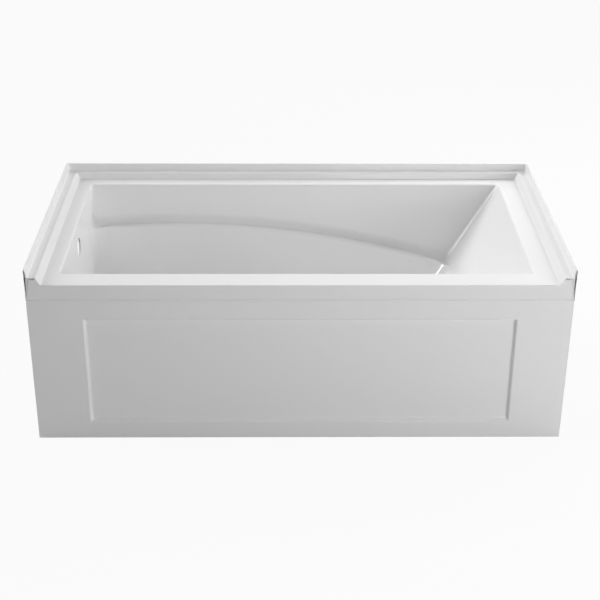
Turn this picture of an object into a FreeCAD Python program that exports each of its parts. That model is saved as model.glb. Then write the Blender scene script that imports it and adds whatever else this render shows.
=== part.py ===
"""Alcove bathtub with an integral front apron, left-hand drain, sloped backrest and levelling feet.

Millimetres. Origin: on the floor, under the middle of the bath. +X runs from the drain end to the
backrest end, +Y from the apron to the back wall, +Z up.
"""
import FreeCAD
import Part
import Sketcher

import math
import os

Vector = FreeCAD.Vector
os.makedirs("parts", exist_ok=True)
doc = FreeCAD.newDocument("alcove_bathtub")

# ---------------------------------------------------------------------------------------------
# Driving dimensions
# ---------------------------------------------------------------------------------------------
SIZES = {
    # the whole bath
    "overall_length": 1524, "overall_width": 813, "overall_height": 546,
    # moulded sheet of the shell and of the apron
    "laminate": 5,
    # rim: deck round the basin, raised ledge, tile flange on three sides
    "flange_rise": 24, "ledge_rise": 22,
    "flange_top": 5, "flange_foot": 9,
    "ledge_side": 32, "ledge_back": 25, "step_side": 13, "step_back": 5,
    "flange_corner": 6, "step_corner": 10, "foot_fillet": 4, "step_fillet": 4,
    "front_edge": 3, "flange_edge": 1,
    # basin opening, measured at deck height
    "front_deck": 77, "back_deck": 73, "drain_deck": 87, "backrest_deck": 107,
    "opening_roll": 8, "corner_radius": 30,
    # basin walls: run-in per millimetre of depth, and the slope of the backrest
    "end_draft": 0.03, "side_draft": 0.06, "lower_draft": 0.08, "backrest_angle": 31,
    # armrests: an arched ledge along both long walls
    "armrest_drop": 122, "armrest_peak": 362, "armrest_sag": 387, "armrest_width": 38,
    "armrest_fillet": 27,
    # basin floor, falling to the drain
    "floor_height": 80, "floor_fall": 8, "lower_corner": 60, "floor_fillet": 60,
    # drain and overflow holes
    "drain_hole": 26, "drain_seat": 38, "drain_seat_depth": 1.5, "drain_offset": 110,
    "overflow_hole": 29, "overflow_drop": 72,
    # fascia lip and apron
    "fascia_drop": 48, "lip_step": 2, "lap_height": 30, "bond_gap": 0.3, "joggle": 6,
    "panel_side": 151, "panel_bottom": 53, "panel_head": 57, "panel_depth": 9, "panel_bevel": 12,
    "apron_return": 26, "apron_bend": 3,
    # timber
    "batten_depth": 34, "batten_front": 38, "batten_back": 34, "batten_end": 34, "batten_gap": 2,
    "batten_inset": 62, "batten_end_gap": 10,
    "timber_edge": 2, "kick_rail_height": 40, "kick_rail_width": 30, "rail_inset": 22,
    "stile_width": 80, "stile_thickness": 12, "stile_inset": 42, "stile_top_gap": 6,
    "rib_width": 12, "rib_depth": 25, "rib_spacing": 300, "rib_end_gap": 5,
    # base board and bearers
    "board_thickness": 12, "board_margin": 60, "board_corner": 25, "board_drain_hole": 45,
    "bearer_width": 40, "bearer_height": 25, "bearer_sheet": 2, "bearer_bend": 3,
    "bearer_side_gap": 61.5, "bearer_drain_end": 312, "bearer_backrest_end": 532,
    # levelling feet
    "foot_end": 55, "stud_radius": 5, "stud_hole_gap": 0.5, "thread_clearance": 0.06,
    "stud_length": 80, "stud_tip": 4, "stud_tip_length": 12, "collar_flats": 14, "collar_height": 6,
    "pad_radius": 28, "pad_rim": 4, "pad_neck": 12, "pad_height": 16, "pad_edge": 1,
    "nut_flats": 17, "nut_height": 10, "lock_nut_height": 6, "hexagon_bevel": 1,
    # ties and screws
    "tie_sheet": 2.5, "tie_width": 36, "tie_lap": 38, "tie_drop": 55, "tie_bolt_end": 18,
    "screw_radius": 2.5, "screw_head": 5, "screw_head_height": 3, "screw_dome": 1.2,
    "screw_length": 12, "screw_clearance": 0.1, "pilot_spare": 0.5,
    "board_screw_reach": 120, "tie_screw_spacing": 16,
    "bolt_length": 12, "bolt_flats": 10, "bolt_head_height": 4,
}
sheet = doc.addObject("Spreadsheet::Sheet", "Sizes")
for row, (alias, number) in enumerate(SIZES.items(), 1):
    sheet.set(f"A{row}", alias)
    sheet.set(f"B{row}", str(number))
    sheet.setAlias(f"B{row}", alias)
doc.recompute()


def size(name):
    """The cell of one driving dimension, as an expression."""
    return f"Sizes.{name}"


def value(expression):
    """The number that an expression gives with the sheet as it stands."""
    return float(sheet.evalExpression(str(expression)))


# Planes that several pieces share, as expressions of the sheet.
LEFT, RIGHT = "(-Sizes.overall_length/2)", "(Sizes.overall_length/2)"
FRONT, BACK = "(-Sizes.overall_width/2)", "(Sizes.overall_width/2)"
TOP = size("overall_height")
LEDGE = "(Sizes.overall_height-Sizes.flange_rise)"
DECK = f"({LEDGE}-Sizes.ledge_rise)"
UNDER_DECK = f"({DECK}-Sizes.laminate)"
FASCIA_FOOT = f"({DECK}-Sizes.fascia_drop)"
ARMREST = f"({DECK}-Sizes.armrest_drop)"
ARMREST_PEAK = f"({LEFT}+Sizes.armrest_peak)"
ARMREST_ARC = "(Sizes.overall_length^2/2/Sizes.armrest_sag)"
LAP_TOP = f"({FASCIA_FOOT}+Sizes.lap_height)"
APRON_BACK = f"({FRONT}+Sizes.lip_step+Sizes.laminate)"
LAP_BACK = f"({FRONT}+2*Sizes.laminate)"
BASIN_MIDDLE = "((Sizes.front_deck-Sizes.back_deck)/2)"
BASIN_HALF = "((Sizes.overall_width-Sizes.front_deck-Sizes.back_deck)/2)"
BOARD_TOP = "(Sizes.floor_height-Sizes.laminate)"
BOARD_FOOT = f"({BOARD_TOP}-Sizes.board_thickness)"
BEARER_FOOT = f"({BOARD_FOOT}-Sizes.bearer_height)"
BEARERS = {
    "drain_end": f"({LEFT}+Sizes.bearer_drain_end)",
    "backrest_end": f"({RIGHT}-Sizes.bearer_backrest_end)",
}
BEARER_REACH = "(Sizes.overall_width/2-Sizes.bearer_side_gap)"
FOOT_REACH = f"({BEARER_REACH}-Sizes.foot_end)"


# ---------------------------------------------------------------------------------------------
# Small builders for solids and sketches
# ---------------------------------------------------------------------------------------------
def bind(thing, **expressions):
    """Tie properties of an object to expressions of the sheet."""
    for name, expression in expressions.items():
        thing.setExpression(name, str(expression))
    return thing


def move(thing, x="0", y="0", z="0"):
    """Tie the place of an object to expressions."""
    for axis, expression in zip("xyz", (x, y, z)):
        thing.setExpression(f"Placement.Base.{axis}", str(expression))
    return thing


def box(name, x, y, z):
    """A box between two expressions along each axis."""
    solid = doc.addObject("Part::Box", name)
    bind(solid, Length=f"{x[1]}-({x[0]})", Width=f"{y[1]}-({y[0]})", Height=f"{z[1]}-({z[0]})")
    return move(solid, x[0], y[0], z[0])


def frustum(name, low, high, z):
    """Straight sides between a low rectangle and a high one, each (x from, x to, y from, y to)."""
    solid = doc.addObject("Part::Wedge", name)
    solid.Placement = FreeCAD.Placement(Vector(0, 0, 0), FreeCAD.Rotation(Vector(1, 0, 0), 90))
    return bind(
        solid, Ymin=z[0], Ymax=z[1],
        Xmin=low[0], Xmax=low[1], Zmin=f"-({low[3]})", Zmax=f"-({low[2]})",
        X2min=high[0], X2max=high[1], Z2min=f"-({high[3]})", Z2max=f"-({high[2]})")


def cylinder(name, radius, height, x, y, z, axis=Vector(0, 0, 1), turn=0):
    """A round bar that starts at a point and is turned about an axis by some degrees."""
    solid = doc.addObject("Part::Cylinder", name)
    solid.Placement = FreeCAD.Placement(Vector(0, 0, 0), FreeCAD.Rotation(axis, turn))
    bind(solid, Radius=radius, Height=height)
    return move(solid, x, y, z)


def join(name, solids):
    """One solid out of several that touch or overlap."""
    joined = doc.addObject("Part::MultiFuse", name)
    joined.Shapes = solids
    joined.Refine = True
    return joined


def cut(name, base, tools):
    """A solid less one tool, or less several tools joined."""
    less = doc.addObject("Part::Cut", name)
    less.Base = base
    less.Tool = tools[0] if len(tools) == 1 else join(name + "_tools", tools)
    return less


def common(name, first, second):
    """What two solids share."""
    shared = doc.addObject("Part::MultiCommon", name)
    shared.Shapes = [first, second]
    return shared


def middle(edge):
    """The point halfway along an edge."""
    return edge.valueAt((edge.FirstParameter + edge.LastParameter) / 2)


def turn_at(shape, edge):
    """Degrees between the two faces at the middle of an edge: 0 where they run on smoothly."""
    faces = shape.ancestorsOfType(edge, Part.Face)
    if len(faces) < 2:
        return 0.0
    normals = [face.normalAt(*face.Surface.parameter(middle(edge))) for face in faces]
    return math.degrees(normals[0].getAngle(normals[1]))


def fillet(name, base, radius, chosen, kind="Fillet"):
    """Round, or bevel with kind Chamfer, the edges for which chosen(shape, edge) is true."""
    doc.recompute()
    shape = base.Shape
    numbers = [number for number, edge in enumerate(shape.Edges, 1) if chosen(shape, edge)]
    if not numbers:
        raise RuntimeError(f"{name} finds no edge to round")
    rounded = doc.addObject(f"Part::{kind}", name)
    rounded.Base = base
    rounded.Edges = [(number, value(radius), value(radius)) for number in numbers]
    doc.recompute()
    return rounded


def body(name):
    """A body with its own origin."""
    return doc.addObject("PartDesign::Body", name)


def sketch(owner, name, plane, offset="0"):
    """A sketch on one of its body's origin planes, moved along the plane's normal."""
    drawn = owner.newObject("Sketcher::SketchObject", name)
    support = [feature for feature in owner.Origin.OriginFeatures if feature.Role == plane][0]
    drawn.AttachmentSupport = [(support, "")]
    drawn.MapMode = "FlatFace"
    drawn.setExpression("AttachmentOffset.Base.z", str(offset))
    return drawn


def fix(drawn, kind, number, expression, *where):
    """Add a dimension to a sketch and tie it to an expression."""
    index = drawn.addConstraint(Sketcher.Constraint(kind, *where, value(expression)))
    drawn.renameConstraint(index, number)
    drawn.setExpression(f"Constraints.{number}", str(expression))


def polygon(drawn, corners):
    """A closed outline through corners given as pairs of expressions."""
    first = drawn.GeometryCount
    points = [Vector(value(across), value(up), 0) for across, up in corners]
    count = len(corners)
    for index in range(count):
        drawn.addGeometry(Part.LineSegment(points[index], points[(index + 1) % count]), False)
    for index in range(count):
        after = first + (index + 1) % count
        drawn.addConstraint(Sketcher.Constraint("Coincident", first + index, 2, after, 1))
    for index, (across, up) in enumerate(corners):
        fix(drawn, "DistanceX", f"across{first + index}", across, -1, 1, first + index, 1)
        fix(drawn, "DistanceY", f"up{first + index}", up, -1, 1, first + index, 1)
    return drawn


def rectangle(drawn, x, y):
    """A rectangle between two expressions each way."""
    return polygon(drawn, [(x[0], y[0]), (x[1], y[0]), (x[1], y[1]), (x[0], y[1])])


def circle(drawn, x, y, radius):
    """A circle tied by its centre and radius."""
    centre = Vector(value(x), value(y), 0)
    index = drawn.addGeometry(Part.Circle(centre, Vector(0, 0, 1), value(radius)), False)
    fix(drawn, "DistanceX", f"across{index}", x, -1, 1, index, 3)
    fix(drawn, "DistanceY", f"up{index}", y, -1, 1, index, 3)
    fix(drawn, "Radius", f"radius{index}", radius, index)
    return drawn


def hexagon(drawn, x, y, flats):
    """A hexagon, two of its flats across the sketch's second axis."""
    corner = f"(({flats})/2/cos(30))"
    return polygon(drawn, [(f"({x})+{corner}*cos({60 * step})", f"({y})+{corner}*sin({60 * step})")
                           for step in range(6)])


def feature(owner, kind, name, drawn, length=None, symmetric=False, reverse=False):
    """A pad or pocket of a sketch."""
    made = owner.newObject(f"PartDesign::{kind}", name)
    made.Profile = drawn
    made.Reversed = reverse
    if symmetric:
        made.SideType = "Symmetric"
    if length is None:
        made.Type = "ThroughAll"
    else:
        made.setExpression("Length", str(length))
    return made


def round_edges(owner, name, radius, chosen):
    """A fillet feature on the edges of the body's tip for which chosen(shape, edge) is true."""
    doc.recompute()
    base = owner.Tip
    numbers = [number for number, edge in enumerate(base.Shape.Edges, 1) if chosen(base.Shape, edge)]
    if not numbers:
        raise RuntimeError(f"{name} finds no edge to round")
    rounded = owner.newObject("PartDesign::Fillet", name)
    rounded.Base = (base, [f"Edge{number}" for number in numbers])
    rounded.setExpression("Radius", str(radius))
    return rounded


NODES = {}


def node(name, thing):
    """Name a finished piece."""
    thing.Label = name
    NODES[name] = thing
    return thing


def group(name, solids):
    """Like fasteners kept together as separate solids."""
    together = doc.addObject("Part::Compound", name)
    together.Links = solids
    return node(name, together)


# ---------------------------------------------------------------------------------------------
# bath_shell: the moulding. The same basin is built twice, once for the glossy face and once
# grown by the laminate for the underside.
# ---------------------------------------------------------------------------------------------
def drain_wall(z, grow):
    """Where the wall at the drain end stands at a height."""
    return f"({LEFT}+Sizes.drain_deck+Sizes.end_draft*({DECK}-({z}))-({grow}))"


def backrest(z, grow):
    """Where the backrest stands at a height."""
    slope = f"tan(Sizes.backrest_angle)*({DECK}-({z}))"
    return f"({RIGHT}-Sizes.backrest_deck-{slope}+({grow})/cos(Sizes.backrest_angle))"


def upper_wall(z, grow):
    """Half the basin's width above the armrests at a height."""
    return f"({BASIN_HALF}-Sizes.side_draft*({DECK}-({z}))+({grow}))"


def lower_wall(z, grow):
    """Half the basin's width below the armrests at a height."""
    at_armrest = upper_wall(ARMREST, grow)
    return f"({at_armrest}-Sizes.armrest_width-Sizes.lower_draft*({ARMREST}-({z})))"


def basin_outline(wall, z, grow):
    """The rectangle of the basin at a height, for the upper or the lower long walls."""
    half = wall(z, grow)
    return (drain_wall(z, grow), backrest(z, grow),
            f"{BASIN_MIDDLE}-{half}", f"{BASIN_MIDDLE}+{half}")


def below_armrest(name, grow):
    """Everything under the arched armrest: a bar with a round top that runs across the bath."""
    radius = f"({ARMREST_ARC}-({grow}))"
    reach = value(f"{RIGHT}") + value(size("overall_length"))
    peak, across = value(ARMREST_PEAK), value(radius)
    centre = value(ARMREST) - value(ARMREST_ARC)
    start = peak - reach
    end = peak + reach
    shoulder = centre + math.sqrt(across ** 2 - reach ** 2)
    near = -value(size("overall_width"))
    arch = Part.Arc(Vector(start, near, shoulder), Vector(peak, near, centre + across),
                    Vector(end, near, shoulder)).toShape()
    corners = [Vector(end, near, shoulder), Vector(end, near, centre), Vector(start, near, centre),
               Vector(start, near, shoulder)]
    sides = [Part.LineSegment(a, b).toShape() for a, b in zip(corners, corners[1:])]
    bar = doc.addObject("Part::Feature", name)
    bar.Shape = Part.Face(Part.Wire([arch] + sides)).extrude(Vector(0, -2 * near, 0))
    return bar


def basin(name, grow, floor_low, floor_high, brim):
    """The hollow of the basin: wide above the armrests, narrow below them, rounded throughout."""
    armrest_low = f"({ARMREST}/3)"

    wide = frustum(name + "_wide", basin_outline(upper_wall, armrest_low, grow),
                   basin_outline(upper_wall, brim, grow), (armrest_low, brim))
    wide = fillet(name + "_wide_corners", wide, f"Sizes.corner_radius+({grow})",
                  lambda shape, edge: edge.BoundBox.ZLength > value(DECK) / 2)
    wide = cut(name + "_above_armrest", wide, [below_armrest(name + "_armrest", grow)])
    arc_centre = value(f"{ARMREST}-{ARMREST_ARC}")

    def on_arch(edge, parameter):
        point = edge.valueAt(parameter)
        reach = math.hypot(point.x - value(ARMREST_PEAK), point.z - arc_centre)
        return abs(reach - value(f"{ARMREST_ARC}-({grow})")) < 0.01

    wide = fillet(name + "_armrest_fillet", wide, f"Sizes.armrest_fillet+({grow})",
                  lambda shape, edge: all(on_arch(edge, end) for end in edge.ParameterRange))

    narrow = frustum(name + "_narrow", basin_outline(lower_wall, floor_low, grow),
                     basin_outline(lower_wall, brim, grow), (floor_low, brim))
    if floor_high != floor_low:
        # the fall of the floor: the part of the hollow under a tilted plane is filled again
        start = value(drain_wall(floor_low, grow))
        run = value(backrest(floor_low, grow)) - start
        tilt = math.degrees(math.atan2(value(f"{floor_high}-({floor_low})"), run))
        ramp = doc.addObject("Part::Box", name + "_fall")
        bind(ramp, Length="Sizes.overall_length", Width="Sizes.overall_width*2",
             Height="Sizes.floor_height")
        hinge = Vector(start, -value(size("overall_width")), value(floor_low))
        corner = Vector(-value(size("drain_deck")), 0, -value(size("floor_height")))
        tilted = FreeCAD.Placement(hinge, FreeCAD.Rotation(Vector(0, 1, 0), -tilt))
        ramp.Placement = tilted * FreeCAD.Placement(corner, FreeCAD.Rotation())
        narrow = cut(name + "_sloped_floor", narrow, [ramp])
    narrow = fillet(name + "_lower_corners", narrow, f"Sizes.lower_corner+({grow})",
                    lambda shape, edge: edge.BoundBox.ZLength > value(DECK) / 2)
    narrow = fillet(name + "_floor_fillet", narrow, f"Sizes.floor_fillet+({grow})",
                    lambda shape, edge: turn_at(shape, edge) > 5 and middle(edge).z < value(DECK) / 4
                    and edge.BoundBox.ZLength < value(DECK) / 4)

    return join(name, [wide, narrow])


FLOOR = size("floor_height")
inside = basin("basin_inside", "0", FLOOR, "(Sizes.floor_height+Sizes.floor_fall)", f"({TOP}+10)")
outside = basin("basin_outside", size("laminate"), BOARD_TOP, BOARD_TOP,
                f"({DECK}-Sizes.laminate/2)")

rim_block = box("rim_block", (LEFT, RIGHT), (FRONT, BACK), (UNDER_DECK, TOP))
fascia = box("fascia", (LEFT, RIGHT), (FRONT, f"{FRONT}+Sizes.laminate"), (FASCIA_FOOT, DECK))
BEYOND = "1"


def rim_outline(from_side, from_back, grow="0"):
    """A rectangle that stands in from the sides and the back of the rim, open to the front."""
    return (f"{LEFT}+{from_side}-({grow})", f"{RIGHT}-({from_side})+({grow})", f"{FRONT}-{BEYOND}",
            f"{BACK}-({from_back})+({grow})")


STEP_LOW = ("(Sizes.ledge_side+Sizes.step_side)", "(Sizes.ledge_back+Sizes.step_back)")
STEP_HIGH = (size("ledge_side"), size("ledge_back"))
ledge_pocket = frustum("ledge_pocket", rim_outline(size("flange_foot"), size("flange_foot")),
                       rim_outline(size("flange_top"), size("flange_top")), (LEDGE, TOP))
deck_pocket = frustum("deck_pocket", rim_outline(*STEP_LOW), rim_outline(*STEP_HIGH), (DECK, LEDGE))
deck_below = frustum("deck_below", rim_outline(*STEP_LOW, size("laminate")),
                     rim_outline(*STEP_HIGH, size("laminate")), (UNDER_DECK, f"({LEDGE}-Sizes.laminate)"))


def upright(shape, edge):
    """An edge that climbs at a back corner."""
    return edge.BoundBox.ZLength > 5 and middle(edge).y > 0


def at_height(z):
    """Chooses the edges that lie level at a height."""
    def chosen(shape, edge):
        return edge.BoundBox.ZLength < 0.01 and abs(middle(edge).z - value(z)) < 0.01
    return chosen


def foot_line(z):
    """Chooses the bottom edges of a pocket at a height, apart from its open front."""
    def chosen(shape, edge):
        return at_height(z)(shape, edge) and edge.BoundBox.YMax > value(FRONT)
    return chosen


ledge_pocket = fillet("ledge_pocket_corners", ledge_pocket, size("flange_corner"), upright)
ledge_pocket = fillet("ledge_pocket_foot", ledge_pocket, size("foot_fillet"), foot_line(LEDGE))
deck_pocket = fillet("deck_pocket_corners", deck_pocket, size("step_corner"), upright)
deck_pocket = fillet("deck_pocket_foot", deck_pocket, size("foot_fillet"), foot_line(DECK))

# under the ledge the moulding is hollow out to its edge, behind the fascia
under_ledge_block = box(
    "under_ledge_block", (f"{LEFT}-{BEYOND}", f"{RIGHT}+{BEYOND}"),
    (f"{FRONT}+Sizes.laminate", f"{BACK}+{BEYOND}"),
    (f"({UNDER_DECK}-{BEYOND})", f"({LEDGE}-Sizes.laminate)"))
deck_core_foot = box(
    "deck_core_foot", (f"{LEFT}+{STEP_LOW[0]}-Sizes.laminate", f"{RIGHT}-{STEP_LOW[0]}+Sizes.laminate"),
    (f"{FRONT}-{BEYOND}", f"{BACK}-{STEP_LOW[1]}+Sizes.laminate"),
    (f"({UNDER_DECK}-2*{BEYOND})", UNDER_DECK))
under_ledge = cut("under_ledge", under_ledge_block, [join("deck_core", [deck_below, deck_core_foot])])

# the overflow hole stands square to the wall at the drain end
OVERFLOW_HEIGHT = f"({DECK}-Sizes.overflow_drop)"
wall_lean = math.degrees(math.atan(value(size("end_draft"))))
overflow = cylinder("overflow_bore", size("overflow_hole"), "6*Sizes.laminate",
                    f"{drain_wall(OVERFLOW_HEIGHT, size('laminate'))}-2*Sizes.laminate", BASIN_MIDDLE,
                    f"{OVERFLOW_HEIGHT}-3*Sizes.laminate*Sizes.end_draft", Vector(0, 1, 0), 90 - wall_lean)
DRAIN_X = f"({drain_wall(FLOOR, '0')}+Sizes.drain_offset)"
drain = cylinder("drain_bore", size("drain_hole"), "10*Sizes.laminate", DRAIN_X, BASIN_MIDDLE,
                 f"{BOARD_TOP}-{BEYOND}")

drain_seat = cylinder("drain_seat_recess", size("drain_seat"), "Sizes.laminate*2", DRAIN_X, BASIN_MIDDLE,
                      f"{FLOOR}-Sizes.drain_seat_depth")

moulding = cut("moulding", join("moulding_block", [rim_block, fascia, outside]),
               [under_ledge, ledge_pocket, deck_pocket, inside, overflow, drain, drain_seat])


def opening_edge(shape, edge):
    """The edge between the deck and the basin walls."""
    point = middle(edge)
    inside_deck = abs(point.x) < value(f"{RIGHT}-{STEP_LOW[0]}") - 5
    between = value(FRONT) + 20 < point.y < value(f"{BACK}-{STEP_LOW[1]}") - 5
    return at_height(DECK)(shape, edge) and inside_deck and between and turn_at(shape, edge) > 5


def step_edge(shape, edge):
    """The edge between the raised ledge and the step down to the deck, behind the front outline."""
    point = middle(edge)
    behind_front = point.y > value(FRONT) + 1
    side = abs(abs(point.x) - value(f"{RIGHT}-Sizes.ledge_side")) < value(size("step_corner"))
    back = abs(point.y - value(f"{BACK}-Sizes.ledge_back")) < value(size("step_corner"))
    return at_height(LEDGE)(shape, edge) and behind_front and (side or back) and turn_at(shape, edge) > 5


def front_edge(shape, edge):
    """The front outline of the deck, the steps and the ledges, up to the top of the flanges."""
    bounds = edge.BoundBox
    on_front = abs(bounds.YMax - value(FRONT)) < 0.001
    above = bounds.ZMin > value(DECK) - 0.01
    return on_front and above and abs(middle(edge).x) < value(RIGHT) - 0.01


shell = fillet("opening_rolled", moulding, size("opening_roll"), opening_edge)
shell = fillet("step_rounded", shell, size("step_fillet"), step_edge)
shell = fillet("front_rounded", shell, size("front_edge"), front_edge)
shell = fillet("flange_rounded", shell, size("flange_edge"),
               lambda shape, edge: at_height(TOP)(shape, edge) and turn_at(shape, edge) > 5)
node("bath_shell", shell)

# ---------------------------------------------------------------------------------------------
# apron_panel: moulded front, one bent profile along the bath with a recessed panel pressed into it.
# Its top steps back and is bonded behind the fascia.
# ---------------------------------------------------------------------------------------------
APRON_FRONT = f"({FRONT}+Sizes.lip_step)"
APRON_TOP = f"({FASCIA_FOOT}-Sizes.bond_gap)"
RETURN_BACK = f"({APRON_FRONT}+Sizes.apron_return)"
RECESS_BACK = f"({APRON_BACK}+Sizes.panel_depth)"
PANEL_TOP = f"({FASCIA_FOOT}-Sizes.panel_head)"

apron = body("apron_body")
profile = polygon(sketch(apron, "apron_profile", "YZ_Plane"), [
    (APRON_FRONT, "0"), (RETURN_BACK, "0"), (RETURN_BACK, size("laminate")),
    (APRON_BACK, size("laminate")), (APRON_BACK, f"{APRON_TOP}-Sizes.joggle"),
    (LAP_BACK, APRON_TOP), (LAP_BACK, LAP_TOP), (f"{FRONT}+Sizes.laminate", LAP_TOP),
    (f"{FRONT}+Sizes.laminate", APRON_TOP), (APRON_FRONT, APRON_TOP)])
feature(apron, "Pad", "apron_sheet", profile, size("overall_length"), symmetric=True)


def panel_outline(name, y, inset):
    """The recessed panel's outline on an upright plane."""
    half = f"(Sizes.overall_length/2-Sizes.panel_side-({inset}))"
    return rectangle(sketch(apron, name, "XZ_Plane", f"-({y})"), (f"-{half}", half),
                     (f"Sizes.panel_bottom+({inset})", f"{PANEL_TOP}-({inset})"))


def loft(name, kind, start, end):
    """Straight flanks between two outlines of the recess."""
    made = apron.newObject(f"PartDesign::{kind}Loft", name)
    made.Profile = start
    made.Sections = [end]
    made.Ruled = True
    return made


loft("recess_back", "Additive", panel_outline("back_outer", APRON_BACK, "0"),
     panel_outline("back_inner", RECESS_BACK, size("panel_bevel")))
loft("recess_front", "Subtractive", panel_outline("front_outer", APRON_FRONT, "0"),
     panel_outline("front_inner", f"({APRON_FRONT}+Sizes.panel_depth)", size("panel_bevel")))


def apron_foot(shape, edge):
    """The long bottom edge at the front of the apron."""
    point = middle(edge)
    return edge.BoundBox.XLength > 100 and point.z < 0.01 and point.y < value(APRON_FRONT) + 0.01


round_edges(apron, "apron_bend_rounded", size("apron_bend"), apron_foot)
node("apron_panel", apron)


# ---------------------------------------------------------------------------------------------
# Timber behind the apron and under the rim
# ---------------------------------------------------------------------------------------------
def timber(name, x, y, z):
    """A sawn bar with eased long edges."""
    bar = box(name + "_bar", x, y, z)
    doc.recompute()
    longest = max(edge.Length for edge in bar.Shape.Edges)
    return fillet(name + "_eased", bar, size("timber_edge"),
                  lambda shape, edge: edge.Length > longest - 0.01, "Chamfer")


RAIL_BACK = f"({APRON_BACK}+Sizes.kick_rail_width)"
RAIL_TOP = "(Sizes.laminate+Sizes.kick_rail_height)"
RAIL_END = "(Sizes.overall_length/2-Sizes.rail_inset)"
TIE_SCREW_Z = "(Sizes.laminate+Sizes.kick_rail_height/2)"
TIES = {"left": BEARERS["drain_end"], "right": BEARERS["backrest_end"]}


def tie_screw_places():
    """Where the screws of the two ties go in along X."""
    return [f"({middle_x}+({side})*Sizes.tie_screw_spacing/2)"
            for middle_x in TIES.values() for side in (-1, 1)]


rail = timber("kick_rail", (f"-{RAIL_END}", RAIL_END), (APRON_BACK, RAIL_BACK),
              (size("laminate"), RAIL_TOP))
pilots = [cylinder(f"kick_rail_pilot_{number}", "Sizes.screw_radius+Sizes.screw_clearance",
                   "Sizes.screw_length", x, RAIL_BACK, TIE_SCREW_Z, Vector(1, 0, 0), 90)
          for number, x in enumerate(tie_screw_places(), 1)]
node("apron_kick_rail", cut("kick_rail_drilled", rail, pilots))

STILE_OUT = "(Sizes.overall_length/2-Sizes.stile_inset)"
STILE_IN = f"({STILE_OUT}-Sizes.stile_width)"
for side, near, far in (("left", f"-{STILE_OUT}", f"-{STILE_IN}"), ("right", STILE_IN, STILE_OUT)):
    node(f"apron_stile_{side}", timber(
        f"stile_{side}", (near, far), (APRON_BACK, f"{APRON_BACK}+Sizes.stile_thickness"),
        (RAIL_TOP, f"({APRON_TOP}-Sizes.joggle-Sizes.stile_top_gap)")))

for side, x in (("left", "-Sizes.rib_spacing"), ("middle", "0"), ("right", "Sizes.rib_spacing")):
    rib = body(f"rib_{side}_body")
    low = "(Sizes.panel_bottom+Sizes.panel_bevel+Sizes.rib_end_gap)"
    high = f"({PANEL_TOP}-Sizes.panel_bevel-Sizes.rib_end_gap)"
    behind = f"({RECESS_BACK}+Sizes.rib_depth)"
    outline = polygon(sketch(rib, f"rib_{side}_outline", "YZ_Plane"), [
        (RECESS_BACK, low), (behind, f"{low}+Sizes.rib_depth"), (behind, f"{high}-Sizes.rib_depth"),
        (RECESS_BACK, high)])
    feature(rib, "Pad", f"rib_{side}_plate", outline, size("rib_width"), symmetric=True)
    node(f"apron_rib_{side}", move(rib, x))

BATTEN_Z = (f"({UNDER_DECK}-Sizes.batten_depth)", UNDER_DECK)
BATTEN_BACK = f"({BACK}-Sizes.ledge_back-Sizes.batten_gap)"
BATTEN_BACK_FRONT = f"({BATTEN_BACK}-Sizes.batten_back)"
BATTEN_FRONT_BACK = f"({LAP_BACK}+Sizes.batten_front)"
BATTEN_LONG = "(Sizes.overall_length/2-Sizes.batten_inset)"
BATTEN_END = "(Sizes.overall_length/2-Sizes.ledge_side-Sizes.batten_end_gap)"
BATTEN_END_IN = f"({BATTEN_END}-Sizes.batten_end)"
node("batten_front", timber("front_batten", (f"-{BATTEN_LONG}", BATTEN_LONG),
                            (LAP_BACK, BATTEN_FRONT_BACK), BATTEN_Z))
node("batten_back", timber("back_batten", (f"-{BATTEN_LONG}", BATTEN_LONG),
                           (BATTEN_BACK_FRONT, BATTEN_BACK), BATTEN_Z))
ACROSS = (BATTEN_FRONT_BACK, BATTEN_BACK_FRONT)
for end, near, far in (("drain_end", f"-{BATTEN_END}", f"-{BATTEN_END_IN}"),
                       ("backrest_end", BATTEN_END_IN, BATTEN_END)):
    node(f"batten_{end}", timber(f"{end}_batten", (near, far), ACROSS, BATTEN_Z))

# ---------------------------------------------------------------------------------------------
# bottom_board: bonded under the basin floor, with a hole round the drain and pilot holes
# ---------------------------------------------------------------------------------------------
SCREW_HOLE = "(Sizes.screw_radius+Sizes.screw_clearance)"
BOARD_HALF = f"({lower_wall(BOARD_TOP, size('laminate'))}-Sizes.board_margin)"

board = body("board_body")
outline = rectangle(
    sketch(board, "board_outline", "XY_Plane", BOARD_FOOT),
    (f"{drain_wall(BOARD_TOP, size('laminate'))}+Sizes.board_margin",
     f"{backrest(BOARD_TOP, size('laminate'))}-Sizes.board_margin"),
    (f"{BASIN_MIDDLE}-{BOARD_HALF}", f"{BASIN_MIDDLE}+{BOARD_HALF}"))
feature(board, "Pad", "board_plate", outline, size("board_thickness"))
drain_cut = circle(sketch(board, "board_drain", "XY_Plane", BOARD_TOP), DRAIN_X, BASIN_MIDDLE,
                   size("board_drain_hole"))
feature(board, "Pocket", "board_drain_cut", drain_cut)
holes = sketch(board, "board_pilots", "XY_Plane", BOARD_FOOT)
for x in BEARERS.values():
    for reach in ("-Sizes.board_screw_reach", "+Sizes.board_screw_reach"):
        circle(holes, x, f"{BASIN_MIDDLE}{reach}", SCREW_HOLE)
feature(board, "Pocket", "board_pilot_holes", holes,
        "Sizes.screw_length-Sizes.bearer_sheet+Sizes.pilot_spare", reverse=True)


def board_corner(shape, edge):
    """An upright corner of the board."""
    bounds = edge.BoundBox
    on_outline = abs(middle(edge).y - value(BASIN_MIDDLE)) > value(BOARD_HALF) - 0.01
    return bounds.ZLength > 1 and bounds.XLength < 0.01 and bounds.YLength < 0.01 and on_outline


round_edges(board, "board_corners", size("board_corner"), board_corner)
node("bottom_board", board)

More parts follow.
